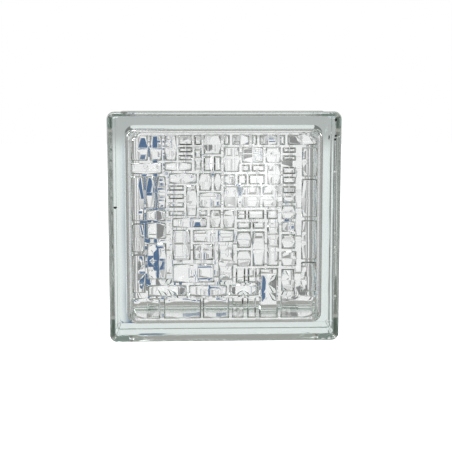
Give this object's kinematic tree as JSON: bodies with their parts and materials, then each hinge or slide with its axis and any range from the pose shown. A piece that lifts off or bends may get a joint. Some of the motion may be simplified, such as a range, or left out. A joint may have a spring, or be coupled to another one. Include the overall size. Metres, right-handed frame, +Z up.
{
  "type": "glass block",
  "caption": "Square hollow glass block with smooth outer faces, shallow mortar channels round its sides and a relief of ridged rectangular pits inside both faces.",
  "frame": {"origin": "middle of the underside, on the plane of the bottom rims", "axes": "+Z up, front face towards -Y, width along X"},
  "size_m": [0.19, 0.08, 0.19],
  "materials": {
    "glass": "clear pressed glass with a faint grey-green tint, fire-polished outside"
  },
  "bodies": {
    "root": {"front_half": "glass", "back_half": "glass"}
  },
  "joints": []
}
